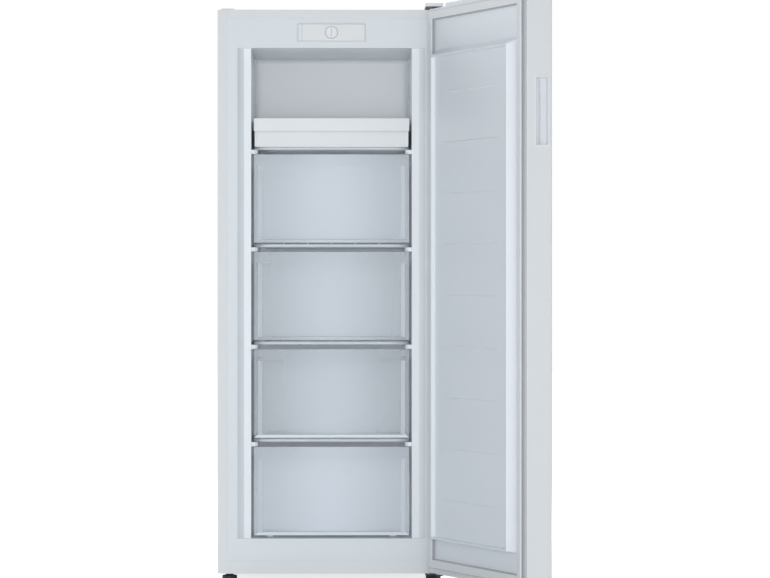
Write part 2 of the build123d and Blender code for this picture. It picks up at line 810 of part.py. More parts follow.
# ---- Drawers and tray ----
def drawer_front_panel(level):
    """The clear front: a recessed window in a frame, with a hooked grip along its top edge."""
    z0 = drawer_floor(level)
    z1 = z0 + DRAWER_HEIGHT
    y0 = drawer_front
    y1 = tub_front
    panel = block(-drawer_half, drawer_half, y0, y1, z0, z1)
    grip_z = z1 - GRIP_HEIGHT
    opening = (drawer_half - FRAME_WIDTH, z0 + FRAME_FOOT, grip_z, WINDOW_CORNER)
    half = drawer_half - FRAME_WIDTH - FRAME_BEVEL
    window = (half, z0 + FRAME_FOOT + FRAME_FOOT_BEVEL, grip_z, WINDOW_CORNER)
    panel -= frustum(opening, window, y0, y1 - FRONT_WALL)
    return panel - block(
        -half, half, y0 + GRIP_LIP, y1 - FRONT_WALL, grip_z - GRIP_OVERCUT, z1 - FRONT_WALL
    )


def tub_back(level):
    """How far back a drawer reaches: the bottom one stops at the hump over the compressor."""
    limit = cavity_back - DRAWER_BACK_GAP
    return min(limit, hump_front - HUMP_GAP) if drawer_floor(level) < hump_top else limit


def drawer_tub(level):
    """The drawer's box behind its front: tapered sides, a rear wall, a floor and a narrow rim."""
    z0 = drawer_floor(level)
    z1 = z0 + DRAWER_HEIGHT - TUB_DROP
    top = drawer_half - TUB_INSET
    rear = tub_back(level)
    solids = []
    for wall in (0, TUB_WALL):
        low = top - TUB_TAPER - wall
        high = top - wall
        outline = Polyline((-low, z0 + wall), (low, z0 + wall), (high, z1), (-high, z1), close=True)
        face = Plane.XZ.offset(-tub_front) * make_face(outline)
        solids.append(extrude(face, -(rear - wall - tub_front)))
    outside, inside = solids
    rim = block(-top - TUB_RIM, top + TUB_RIM, tub_front, rear + TUB_RIM, z1 - TUB_WALL, z1)
    seam = TUB_WALL / 2
    rim -= block(-top + seam, top - seam, tub_front, rear - seam, z1 - TUB_WALL, z1)
    return outside - inside + rim


def freezer_tray():
    """The flat white tray: a shallow box whose front has a deep hooked lip over a plain lower face."""
    z0 = drawer_floor(DRAWER_COUNT)
    z1 = z0 + TRAY_HEIGHT
    half = drawer_half - TRAY_INSET
    y0 = drawer_front + TRAY_OVERHANG
    y1 = cavity_back - DRAWER_BACK_GAP
    wall = TUB_WALL
    tray = block(-half, half, y0, y1, z0, z1) - block(
        -half + wall, half - wall, y0 + wall, y1 - wall, z0 + wall, z1
    )
    face = block(-half, half, y0, y0 + wall, z0 - TRAY_SKIRT, z1)
    low_corners = face.edges().filter_by(Axis.Y).group_by(Axis.Z)[0]
    tray += fillet(low_corners, TRAY_CORNER)
    lip = block(-drawer_half, drawer_half, drawer_front, y0, z1 - TRAY_LIP_HEIGHT, z1)
    lip -= block(
        -drawer_half + wall, drawer_half - wall, drawer_front + wall, y0, z1 - TRAY_LIP_HEIGHT, z1 - wall
    )
    return tray + lip


# ---- Door, drawn shut ----
def door_plug(grow):
    """The raised part of the door's inner panel, its faces moved out by grow."""
    half, z0, z1 = plug_half + grow, plug_bottom - grow, plug_top + grow
    base = (half, z0, z1, PLUG_CORNER + grow)
    half, z0, z1 = half - PLUG_SIDE_SLOPE, z0 + PLUG_BOTTOM_SLOPE, z1 - PLUG_TOP_SLOPE
    crest = (half, z0, z1, PLUG_CREST_CORNER + grow)
    y1 = door_inner + PLUG_HEIGHT + grow
    raised = frustum(base, crest, door_inner, y1)
    inset = PLUG_CREST + 2 * grow
    brim = (half - inset, z0 + inset, z1 - inset, PLUG_BRIM_CORNER)
    inset += PLUG_RECESS_RUN
    floor = (half - inset, z0 + inset, z1 - inset, PLUG_FLOOR_CORNER)
    return raised - frustum(brim, floor, y1, y1 - PLUG_RECESS)


def door_inner_panel():
    """The vacuum-formed inside of the door: flange, raised ring, sunk field and its cross ribs."""
    half = half_width - DOOR_FLANGE
    z0 = door_bottom + DOOR_FLANGE
    z1 = door_top - DOOR_FLANGE
    flange = block(-half, half, door_inner - LINER_WALL, door_inner, z0, z1)
    hollow = rounded_slab(
        -plug_half + LINER_WALL,
        plug_half - LINER_WALL,
        plug_bottom + LINER_WALL,
        plug_top - LINER_WALL,
        door_inner - LINER_WALL,
        door_inner,
        PLUG_CORNER - LINER_WALL,
    )
    panel = flange - hollow + (door_plug(0) - door_plug(-LINER_WALL))
    y0 = door_inner + PLUG_HEIGHT - PLUG_RECESS
    middle = (plug_bottom + plug_top) / 2 + RIB_OFFSET
    count = int((plug_top - plug_bottom - 2 * (RIB_END_GAP + RIB_OFFSET)) / RIB_SPACING) + 1
    for number in range(count):
        z = middle + (number - (count - 1) / 2) * RIB_SPACING
        panel += block(
            -RIB_LENGTH / 2, RIB_LENGTH / 2, y0, y0 + RIB_HEIGHT, z - RIB_WIDTH / 2, z + RIB_WIDTH / 2
        )
    return panel


def cup_span():
    """The handle cup's front and back edges across the door's thickness, and its two ends."""
    y1 = door_inner - CUP_SETBACK
    z1 = door_top - CUP_DROP
    return y1 - CUP_WIDTH, y1, z1 - CUP_LENGTH, z1


def cup_block(x0, x1, inset, radius):
    """A block with round corners lying along the free edge, as the cup is seen from that side."""
    y0, y1, z0, z1 = cup_span()
    outline = RectangleRounded(y1 - y0 - 2 * inset, z1 - z0 - 2 * inset, radius)
    face = Plane.YZ.offset(x0) * Pos((y0 + y1) / 2, (z0 + z1) / 2) * outline
    return extrude(face, x1 - x0)


def handle_cup():
    """The finger recess set into the door's free edge, its inner half scooped out round to pull on."""
    edge = -half_width
    cup = cup_block(edge, edge + CUP_DEPTH, CUP_RIM, CUP_CORNER)
    cup += cup_block(edge - CUP_BEAD, edge, 0, CUP_CORNER)
    shelf = edge + CUP_DEPTH - CUP_WALL - CUP_SCOOP
    inset = CUP_RIM + CUP_WALL
    cup -= cup_block(edge - CUP_BEAD, shelf, inset, CUP_CORNER - CUP_BEAD)
    y1, z0, z1 = cup_span()[1:]
    inset += CUP_BEAD
    return cup - upright(shelf, y1 - inset - CUP_SCOOP, z0 + inset, z1 - inset, CUP_SCOOP)


def door_slice(inset, z0, z1):
    """The door's outline between two heights, moved in by inset, its two outer corners round."""
    edge = half_width - inset
    solid = block(-edge, edge, door_outer + inset, door_inner - inset, z0, z1)
    corners = solid.edges().filter_by(Axis.Z).group_by(Axis.Y)[0]
    return fillet(corners, CORNER_RADIUS - inset)


def door_skin():
    """The painted steel face, bent back along both edges and in again round the inner panel."""
    z0 = door_bottom + DOOR_FLANGE
    z1 = door_top - DOOR_FLANGE
    half = half_width - DOOR_FLANGE
    skin = door_slice(0, z0, z1) - door_slice(SHEET, z0, z1)
    skin -= block(-half, half, door_inner - SHEET, door_inner, z0, z1)
    return skin - cup_block(-half_width, -sheet_inside, CUP_RIM, CUP_CORNER)


def door_foam():
    """The foam that fills the door between its skin, its end caps and its inner panel."""
    z0 = door_bottom + DOOR_FLANGE
    z1 = door_top - DOOR_FLANGE
    foam = door_slice(SHEET, z0, z1) - block(
        -half_width, half_width, door_inner - LINER_WALL, door_inner, z0, z1
    )
    half = plug_half - LINER_WALL
    foam += block(
        -half + PLUG_CORNER,
        half - PLUG_CORNER,
        door_inner - LINER_WALL,
        door_inner,
        plug_bottom + PLUG_CORNER,
        plug_top - PLUG_CORNER,
    )
    foam += door_plug(-LINER_WALL)
    foam -= cup_block(-half_width, -half_width + CUP_DEPTH, CUP_RIM, CUP_CORNER)
    foam -= upright(hinge_x, hinge_y, door_bottom, door_bottom + BUSH_LENGTH, bush_radius)
    return foam - upright(hinge_x, hinge_y, notch_floor - BUSH_LENGTH, door_top, bush_radius)


def door_cap_top():
    """The top cap, cut down at the hinge corner to pass under the hinge plate."""
    cap = door_slice(0, door_top - DOOR_FLANGE, door_top)
    cap -= block(
        half_width - NOTCH_LENGTH, half_width, door_inner - NOTCH_DEPTH, door_inner, notch_floor, door_top
    )
    return cap - upright(hinge_x, hinge_y, door_top - DOOR_FLANGE, notch_floor, bush_radius)


def door_cap_bottom():
    """The bottom cap, bored for the hinge bush."""
    cap = door_slice(0, door_bottom, door_bottom + DOOR_FLANGE)
    return cap - upright(hinge_x, hinge_y, door_bottom, door_bottom + DOOR_FLANGE, bush_radius)


def hinge_bushes():
    """The plastic bushes in the door's lower and upper edge, their blind bores open below and above."""
    bushes = []
    for z0, bore in (
        (door_bottom, door_bottom),
        (notch_floor - BUSH_LENGTH, notch_floor - HINGE_PIN_LENGTH),
    ):
        bush = upright(hinge_x, hinge_y, z0, z0 + BUSH_LENGTH, bush_radius)
        hole = HINGE_PIN_RADIUS + PIN_CLEARANCE
        bushes.append(bush - upright(hinge_x, hinge_y, bore, bore + HINGE_PIN_LENGTH, hole))
    return Compound(children=bushes)


def door_gasket():
    """The soft magnetic seal round the door: a foot, a folded neck and a square bulb, mitred."""
    outer = half_width - DOOR_FLANGE
    z0 = door_bottom + DOOR_FLANGE
    z1 = door_top - DOOR_FLANGE
    neck_rise, neck_inset = GASKET_NECK
    bulb_rise, bulb_inset = GASKET_BULB
    outline = Polyline(
        (0, 0),
        (GASKET_WIDTH, 0),
        (GASKET_WIDTH, GASKET_FOOT),
        (GASKET_WIDTH - neck_inset, neck_rise),
        (GASKET_WIDTH - bulb_inset, bulb_rise),
        (GASKET_WIDTH - bulb_inset, GASKET_HEIGHT),
        (bulb_inset, GASKET_HEIGHT),
        (bulb_inset, bulb_rise),
        (neck_inset, neck_rise),
        (0, GASKET_FOOT),
        close=True,
    )
    middle = (-outer, 0, (z0 + z1) / 2)
    corners = [(-outer, 0, z1), (outer, 0, z1), (outer, 0, z0), (-outer, 0, z0)]
    start = Plane(origin=middle, x_dir=(1, 0, 0), z_dir=(0, 0, 1))
    path = Polyline(middle, *corners, middle)
    seal = sweep(start * make_face(outline), path, transition=Transition.RIGHT)
    return Pos(0, door_inner, 0) * seal


# ---- Hinges, carried by the cabinet ----
def top_hinge_plate():
    """The steel plate on the cabinet's top whose arm reaches out over the door's notch."""
    z0 = CABINET_TOP
    z1 = z0 + HINGE_PLATE
    x1 = hinge_x + HINGE_ARM
    y0 = front + HINGE_PAD_SETBACK
    plate = rounded_block(x1 - HINGE_PAD, x1, y0, y0 + HINGE_PAD_DEPTH, z0, z1, HINGE_CORNER)
    plate += block(hinge_x - HINGE_ARM, x1, hinge_y, y0 + HINGE_PAD_DEPTH / 2, z0, z1)
    plate += upright(hinge_x, hinge_y, z0, z1, HINGE_ARM)
    for x, y in top_screw_places():
        plate -= upright(x, y, z0, z1, SCREW_RADIUS)
    return plate


def top_hinge_pin():
    """The pin riveted under the top hinge plate's arm."""
    low = notch_floor - HINGE_PIN_LENGTH + PIN_END_GAP
    return upright(hinge_x, hinge_y, low, CABINET_TOP, HINGE_PIN_RADIUS)


def top_hinge_cover():
    """The white cap over the top hinge, open below and slotted under its front left part."""
    x1 = hinge_x + HINGE_ARM
    x0 = x1 - HINGE_PAD - COVER_MARGIN
    y0 = hinge_y - HINGE_ARM - COVER_MARGIN
    y1 = front + HINGE_PAD_SETBACK + HINGE_PAD_DEPTH + COVER_MARGIN + COVER_WALL
    z0 = CABINET_TOP
    z1 = z0 + COVER_HEIGHT
    wall = COVER_WALL
    cover = rounded_block(x0, x1, y0, y1, z0, z1, COVER_CORNER)
    cover = chamfer(cover.faces().sort_by(Axis.Z)[-1].edges(), COVER_BEVEL)
    cover -= block(x0 + wall, x1 + wall, y0 + wall, y1 - wall, z0, z1 - wall)
    cover -= block(x0, hinge_x - HINGE_ARM, y0, y1 - 2 * wall, z0, z0 + COVER_SLOT)
    return cover - block(hinge_x - HINGE_ARM, x1, y0, y0 + wall, z0, z0 + COVER_SLOT)


def hinge_hole_cover():
    """The low plug over the spare hinge holes on the other side."""
    width, depth, height = PLUG_COVER
    x0 = -half_width + HINGE_ARM
    y0 = front + HINGE_PAD_SETBACK
    return rounded_block(x0, x0 + width, y0, y0 + depth, CABINET_TOP, CABINET_TOP + height, HINGE_CORNER)


def bottom_hinge_plate():
    """The steel plate under the right base rail that carries the door's lower pin."""
    z1 = CABINET_LIFT
    z0 = z1 - HINGE_PLATE
    x0 = foot_x - HINGE_PAD / 2
    x1 = hinge_x + HINGE_ARM
    y1 = bottom_screw_places()[0][1] + SCREW_FLATS
    plate = rounded_block(x0, x1, hinge_y + HINGE_ARM, y1, z0, z1, HINGE_CORNER)
    plate += block(hinge_x - HINGE_ARM, x1, hinge_y, hinge_y + 3 * HINGE_ARM, z0, z1)
    plate += upright(hinge_x, hinge_y, z0, z1, HINGE_ARM)
    plate -= upright(foot_x, foot_y, z0, z1, FOOT_NECK + FOOT_HOLE_GAP)
    for x, y in bottom_screw_places():
        plate -= upright(x, y, z0, z1, SCREW_RADIUS)
    return plate


def bottom_hinge_pin():
    """The lower pin, with the collar that the door turns on."""
    z0 = CABINET_LIFT
    collar = upright(hinge_x, hinge_y, z0, door_bottom - SLIDE_GAP, COLLAR_RADIUS)
    return collar + upright(
        hinge_x, hinge_y, z0, door_bottom + HINGE_PIN_LENGTH - PIN_END_GAP, HINGE_PIN_RADIUS
    )


def hinge_screws():
    """The hexagon screws, two down through the top hinge plate and two up through the bottom one."""
    screws = []
    z0 = CABINET_TOP + HINGE_PLATE
    for x, y in top_screw_places():
        shank = upright(x, y, CABINET_TOP - SCREW_LENGTH, z0, SCREW_RADIUS)
        screws.append(shank + hexagon(x, y, z0, z0 + SCREW_HEAD, SCREW_FLATS))
    z1 = CABINET_LIFT - HINGE_PLATE
    for x, y in bottom_screw_places():
        shank = upright(x, y, z1, CABINET_LIFT + SCREW_LENGTH, SCREW_RADIUS)
        screws.append(shank + hexagon(x, y, z1 - SCREW_HEAD, z1, SCREW_FLATS))
    return Compound(children=screws)


# ---- Feet ----
def front_foot(side):
    """A levelling foot: a black disc and neck on a stud that turns in the rail's nut."""
    x = side * foot_x
    foot = upright(x, foot_y, 0, FOOT_HEIGHT, FOOT_RADIUS)
    foot = chamfer(foot.faces().sort_by(Axis.Z)[-1].edges(), FOOT_BEVEL)
    neck_top = CABINET_LIFT - SLIDE_GAP
    foot += upright(x, foot_y, FOOT_HEIGHT, neck_top, FOOT_NECK)
    return foot + upright(x, foot_y, neck_top, neck_top + FOOT_STUD_LENGTH, FOOT_STUD)


def rear_feet():
    """Two plain round feet under the back ends of the base rails."""
    y = back - REAR_FOOT_SETBACK
    return Compound(
        children=[upright(side * foot_x, y, 0, CABINET_LIFT, REAR_FOOT_RADIUS) for side in (-1, 1)]
    )


def swung_open(piece):
    """Turns a piece of the shut door about the hinge pins to where it stands open."""
    return Pos(hinge_x, hinge_y) * Rot(0, 0, REST_OPENING) * Pos(-hinge_x, -hinge_y) * piece


pieces = {
    "outer_wrapper": outer_wrapper(),
    "back_panel": back_panel(),
    "base_panel": base_panel(),
    "bottom_rail": bottom_rail(),
    "base_rail_left": base_rail(-1),
    "base_rail_right": base_rail(1),
    "foot_nuts": Compound(children=[foot_nut(-1), foot_nut(1)]),
    "cabinet_foam": cabinet_foam(),
    "inner_liner": inner_liner(),
    "compressor_plate": compressor_plate(),
    "compressor": compressor(),
    "relay_cover": relay_cover(),
    "compressor_grommets": compressor_grommets(),
    "compressor_studs": compressor_studs(),
    "suction_pipe": suction_pipe(),
    "discharge_pipe": discharge_pipe(),
    "filter_drier": filter_drier(),
    "drier_pipe": drier_pipe(),
    "capillary": capillary(),
    "thermostat_body": thermostat_body(),
    "thermostat_shaft": thermostat_shaft(),
    "thermostat_knob": thermostat_knob(),
    "control_fascia": control_fascia(),
    "freezer_tray": freezer_tray(),
    "top_hinge_plate": top_hinge_plate(),
    "top_hinge_pin": top_hinge_pin(),
    "top_hinge_cover": top_hinge_cover(),
    "hinge_hole_cover": hinge_hole_cover(),
    "bottom_hinge_plate": bottom_hinge_plate(),
    "bottom_hinge_pin": bottom_hinge_pin(),
    "hinge_screws": hinge_screws(),
    "front_foot_left": front_foot(-1),
    "front_foot_right": front_foot(1),
    "rear_feet": rear_feet(),
}

door = {
    "door_skin": door_skin(),
    "door_foam": door_foam(),
    "door_inner_panel": door_inner_panel(),
    "door_cap_top": door_cap_top(),
    "door_cap_bottom": door_cap_bottom(),
    "door_gasket": door_gasket(),
    "handle_cup": handle_cup(),
    "hinge_bushes": hinge_bushes(),
}
for name, piece in door.items():
    pieces[name] = swung_open(piece)

# Drawers and shelves are numbered from the top, as they are met when the door is opened.
for number in range(1, DRAWER_COUNT + 1):
    level = DRAWER_COUNT - number
    pieces[f"drawer_{number}_front"] = drawer_front_panel(level)
    pieces[f"drawer_{number}_tub"] = drawer_tub(level)
    pieces[f"evaporator_shelf_{number}"] = evaporator_shelf(level)

# The pieces are handed over about the middle of the floor area that the open freezer takes up.
boxes = [piece.bounding_box() for piece in pieces.values()]
middle_x = round((min(box.min.X for box in boxes) + max(box.max.X for box in boxes)) / 2, 1)
middle_y = round((min(box.min.Y for box in boxes) + max(box.max.Y for box in boxes)) / 2, 1)

os.makedirs("parts", exist_ok=True)
for name, piece in pieces.items():
    solids = [Pos(-middle_x, -middle_y) * solid for solid in piece.solids()]
    export_step(solids[0] if len(solids) == 1 else Compound(children=solids), f"parts/{name}.step")
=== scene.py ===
import bpy
import json
import math
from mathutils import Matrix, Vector

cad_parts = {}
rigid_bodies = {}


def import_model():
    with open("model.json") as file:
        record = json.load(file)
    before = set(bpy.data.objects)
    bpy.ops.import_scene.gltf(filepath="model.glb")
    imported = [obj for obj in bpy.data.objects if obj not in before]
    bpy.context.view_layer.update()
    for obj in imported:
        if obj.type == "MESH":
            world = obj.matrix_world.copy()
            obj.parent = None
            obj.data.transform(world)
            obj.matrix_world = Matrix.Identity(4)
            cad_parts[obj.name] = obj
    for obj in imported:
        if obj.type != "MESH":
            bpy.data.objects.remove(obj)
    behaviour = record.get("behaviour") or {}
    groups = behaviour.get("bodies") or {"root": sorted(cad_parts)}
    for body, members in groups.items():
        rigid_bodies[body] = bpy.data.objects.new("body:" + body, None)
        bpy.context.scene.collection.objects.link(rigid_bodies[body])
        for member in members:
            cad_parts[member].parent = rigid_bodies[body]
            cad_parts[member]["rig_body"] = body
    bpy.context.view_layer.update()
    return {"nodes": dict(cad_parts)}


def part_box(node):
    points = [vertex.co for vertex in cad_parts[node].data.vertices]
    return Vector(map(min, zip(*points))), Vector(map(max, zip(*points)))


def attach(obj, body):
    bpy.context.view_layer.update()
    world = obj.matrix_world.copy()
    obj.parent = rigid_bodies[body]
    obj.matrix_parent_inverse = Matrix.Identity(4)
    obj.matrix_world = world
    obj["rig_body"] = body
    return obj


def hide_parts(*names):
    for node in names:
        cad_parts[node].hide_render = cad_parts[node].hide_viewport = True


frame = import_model()
nodes = frame["nodes"]
scene = bpy.context.scene
scene.view_settings.view_transform = "Standard"

# Camera. A long lens about eight metres off, at half the freezer's height and a little left of its middle,
# turned towards the open door.
cabinet_low, cabinet_high = (Vector(corner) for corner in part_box("outer_wrapper"))
middle = (cabinet_low.x + cabinet_high.x) / 2
front = cabinet_low.y
eye_height = 0.7075
camera_data = bpy.data.cameras.new("camera")
camera_data.sensor_width = 36
camera_data.lens = 155.7
camera = bpy.data.objects.new("camera", camera_data)
camera.location = (middle + 0.008, front - 8.047, eye_height)
target = Vector((middle + 0.1293, front, eye_height))
camera.rotation_euler = (target - camera.location).to_track_quat("-Z", "Y").to_euler()
scene.collection.objects.link(camera)
scene.camera = camera

# Room. The world gives an even, slightly cool light. To the lens, and in anything glossy or clear, it is
# plain white.
world = bpy.data.worlds.new("room")
scene.world = world
world.use_nodes = True
tree = world.node_tree
tree.nodes.clear()
output = tree.nodes.new("ShaderNodeOutputWorld")
seen = tree.nodes.new("ShaderNodeBackground")
seen.inputs["Color"].default_value = (1, 1, 1, 1)
seen.inputs["Strength"].default_value = 1
light = tree.nodes.new("ShaderNodeBackground")
light.inputs["Color"].default_value = (0.88, 0.95, 1, 1)
light.inputs["Strength"].default_value = 0.3
path = tree.nodes.new("ShaderNodeLightPath")
lens_or_gloss = tree.nodes.new("ShaderNodeMath")
lens_or_gloss.operation = "MAXIMUM"
tree.links.new(path.outputs["Is Camera Ray"], lens_or_gloss.inputs[0])
tree.links.new(path.outputs["Is Glossy Ray"], lens_or_gloss.inputs[1])
or_clear = tree.nodes.new("ShaderNodeMath")
or_clear.operation = "MAXIMUM"
tree.links.new(lens_or_gloss.outputs[0], or_clear.inputs[0])
tree.links.new(path.outputs["Is Transmission Ray"], or_clear.inputs[1])
mix = tree.nodes.new("ShaderNodeMixShader")
tree.links.new(or_clear.outputs[0], mix.inputs["Fac"])
tree.links.new(light.outputs[0], mix.inputs[1])
tree.links.new(seen.outputs[0], mix.inputs[2])
tree.links.new(mix.outputs[0], output.inputs["Surface"])

# Lamps. A wide soft box in front lights the open cabinet down to its back wall, a far one behind the lens
# lights it straight on, and two behind light its sides, back and top. Gloss shows the white room and not
# the boxes.
for name, place, size, power in (
    ("wide_lamp", (middle - 0.3, front - 2.9, 0.97), (5.8, 1.9), 31),
    ("lens_lamp", (middle, front - 8.6, 0.9), (1.6, 1.2), 182),
    ("rear_left_lamp", (middle - 1.9, front + 2.2, 2.1), (1.8, 1.8), 60),
    ("rear_right_lamp", (middle + 1.9, front + 2.2, 2.1), (1.8, 1.8), 60),
):
    lamp_data = bpy.data.lights.new(name, "AREA")
    lamp_data.shape = "RECTANGLE"
    lamp_data.size, lamp_data.size_y = size
    lamp_data.energy = power
    lamp = bpy.data.objects.new(name, lamp_data)
    lamp.visible_glossy = False
    lamp.location = place
    aim = Vector((middle, front, 0.7)) - lamp.location
    lamp.rotation_euler = aim.to_track_quat("-Z", "Y").to_euler()
    scene.collection.objects.link(lamp)

# Floor. A plain white sweep, which the lens sees a little brighter than it is lit, so that only the
# object's shadow shows on it.
bpy.ops.object.select_all(action="DESELECT")
bpy.ops.mesh.primitive_plane_add(size=40, location=(0, 0, 0))
floor = bpy.context.object
floor.name = "floor"
floor_paint = bpy.data.materials.new("studio_floor")
floor_paint.use_nodes = True
tree = floor_paint.node_tree
shader = tree.nodes["Principled BSDF"]
shader.inputs["Base Color"].default_value = (0.92, 0.92, 0.92, 1)
shader.inputs["Roughness"].default_value = 0.9
shader.inputs["Emission Color"].default_value = (1, 1, 1, 1)
path = tree.nodes.new("ShaderNodeLightPath")
lift = tree.nodes.new("ShaderNodeMath")
lift.operation = "MULTIPLY"
lift.inputs[1].default_value = 0.75
tree.links.new(path.outputs["Is Camera Ray"], lift.inputs[0])
tree.links.new(lift.outputs[0], shader.inputs["Emission Strength"])
floor.data.materials.append(floor_paint)


# Outer cabinet: one steel sheet bent over the top and down both sides, and the rail under the door.
# Both are pre-painted white, with the fine orange peel of such paint, and the folds are tight.
def node_group(name, inputs, outputs):
    """An empty shader group with its sockets made."""
    group = bpy.data.node_groups.new(name, "ShaderNodeTree")
    for label, kind, value in inputs:
        socket = group.interface.new_socket(label, in_out="INPUT", socket_type=kind)
        socket.default_value = value
    for label, kind in outputs:
        group.interface.new_socket(label, in_out="OUTPUT", socket_type=kind)
    return group


def surface_variation():
    """Slow and fine variation in colour and gloss over a surface, and the height of its texture."""
    group = node_group(
        "surface_variation",
        [
            ("Colour", "NodeSocketColor", (0.8, 0.8, 0.8, 1)),
            ("Second colour", "NodeSocketColor", (0.7, 0.7, 0.7, 1)),
            ("Patch scale", "NodeSocketFloat", 3),
            ("Grain scale", "NodeSocketFloat", 300),
            ("Roughness", "NodeSocketFloat", 0.4),
            ("Roughness spread", "NodeSocketFloat", 0.1),
        ],
        [("Colour", "NodeSocketColor"), ("Roughness", "NodeSocketFloat"), ("Height", "NodeSocketFloat")],
    )
    source = group.nodes.new("NodeGroupInput")
    sink = group.nodes.new("NodeGroupOutput")
    where = group.nodes.new("ShaderNodeTexCoord")
    patches = group.nodes.new("ShaderNodeTexNoise")
    patches.inputs["Detail"].default_value = 3
    group.links.new(where.outputs["Object"], patches.inputs["Vector"])
    group.links.new(source.outputs["Patch scale"], patches.inputs["Scale"])
    grain = group.nodes.new("ShaderNodeTexNoise")
    grain.inputs["Detail"].default_value = 2
    group.links.new(where.outputs["Object"], grain.inputs["Vector"])
    group.links.new(source.outputs["Grain scale"], grain.inputs["Scale"])
    blend = group.nodes.new("ShaderNodeMix")
    blend.data_type = "RGBA"
    group.links.new(patches.outputs["Fac"], blend.inputs["Factor"])
    group.links.new(source.outputs["Colour"], blend.inputs["A"])
    group.links.new(source.outputs["Second colour"], blend.inputs["B"])
    group.links.new(blend.outputs["Result"], sink.inputs["Colour"])
    swing = group.nodes.new("ShaderNodeMath")
    swing.operation = "SUBTRACT"
    swing.inputs[1].default_value = 0.5
    group.links.new(patches.outputs["Fac"], swing.inputs[0])
    gloss = group.nodes.new("ShaderNodeMath")
    gloss.operation = "MULTIPLY_ADD"
    group.links.new(swing.outputs[0], gloss.inputs[0])
    group.links.new(source.outputs["Roughness spread"], gloss.inputs[1])
    group.links.new(source.outputs["Roughness"], gloss.inputs[2])
    group.links.new(gloss.outputs[0], sink.inputs["Roughness"])
    group.links.new(grain.outputs["Fac"], sink.inputs["Height"])
    return group


variation = surface_variation()


def finish(name, colour, second, patch, grain, roughness, spread, bump, metallic=0, coat=0):
    """A material whose colour, gloss and texture come from the shared variation."""
    made = bpy.data.materials.new(name)
    made.use_nodes = True
    tree = made.node_tree
    shader = tree.nodes["Principled BSDF"]
    group = tree.nodes.new("ShaderNodeGroup")
    group.node_tree = variation
    group.inputs["Colour"].default_value = (*colour, 1)
    group.inputs["Second colour"].default_value = (*second, 1)
    group.inputs["Patch scale"].default_value = patch
    group.inputs["Grain scale"].default_value = grain
    group.inputs["Roughness"].default_value = roughness
    group.inputs["Roughness spread"].default_value = spread
    shader.inputs["Metallic"].default_value = metallic
    shader.inputs["Coat Weight"].default_value = coat
    tree.links.new(group.outputs["Colour"], shader.inputs["Base Color"])
    tree.links.new(group.outputs["Roughness"], shader.inputs["Roughness"])
    relief = tree.nodes.new("ShaderNodeBump")
    relief.inputs["Strength"].default_value = bump
    relief.inputs["Distance"].default_value = 0.0004
    tree.links.new(group.outputs["Height"], relief.inputs["Height"])
    tree.links.new(relief.outputs["Normal"], shader.inputs["Normal"])
    return made


def wear(material, *names):
    """Gives CAD pieces a material."""
    for name in names:
        mesh = nodes[name].data
        mesh.materials.clear()
        mesh.materials.append(material)


def copied(name):
    """A copy of a CAD piece's mesh with its loose triangles joined into whole faces, left selected."""
    bpy.ops.object.select_all(action="DESELECT")
    piece = bpy.data.objects.new(f"{name}_finished", nodes[name].data.copy())
    scene.collection.objects.link(piece)
    piece.select_set(True)
    bpy.context.view_layer.objects.active = piece
    bpy.ops.object.mode_set(mode="EDIT")
    bpy.ops.mesh.select_all(action="SELECT")
    bpy.ops.mesh.remove_doubles(threshold=0.000002)
    bpy.ops.mesh.dissolve_limited(angle_limit=math.radians(1))
    bpy.ops.object.mode_set(mode="OBJECT")
    return piece


def round_edges(piece, name, width, segments=2, smooth=40):
    """Rounds a copy's sharp edges, as a mould or a press leaves them, and puts it in its CAD piece's place."""
    bevel = piece.modifiers.new("edges", "BEVEL")
    bevel.width = width
    bevel.segments = segments
    bevel.angle_limit = math.radians(35)
    bpy.ops.object.modifier_apply(modifier=bevel.name)
    bpy.ops.object.shade_smooth_by_angle(angle=math.radians(smooth))
    even = piece.modifiers.new("even", "WEIGHTED_NORMAL")
    even.keep_sharp = True
    bpy.ops.object.modifier_apply(modifier=even.name)
    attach(piece, nodes[name]["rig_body"])
    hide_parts(name)
    return piece


white_paint = finish("white_paint", (0.75, 0.77, 0.79), (0.735, 0.755, 0.775), 2.5, 420, 0.42, 0.08, 0.12)
wear(white_paint, "outer_wrapper", "bottom_rail")
for name in ("outer_wrapper", "bottom_rail"):
    round_edges(copied(name), name, 0.0003, 1)

# Steel sheets that don't show from the front: galvanised, with its spangle, and unpainted.
zinc = finish("galvanised_steel", (0.52, 0.53, 0.54), (0.40, 0.41, 0.43), 45, 600, 0.42, 0.2, 0.15, metallic=0.85)
wear(zinc, "back_panel", "base_panel", "base_rail_left", "base_rail_right", "foot_nuts", "compressor_plate")

# Insulation: rigid foam blown in between the steel and the liner. It is hidden in the finished cabinet.
foam = finish("rigid_foam", (0.80, 0.70, 0.42), (0.72, 0.60, 0.33), 30, 900, 0.9, 0.05, 0.8)
wear(foam, "cabinet_foam", "door_foam")

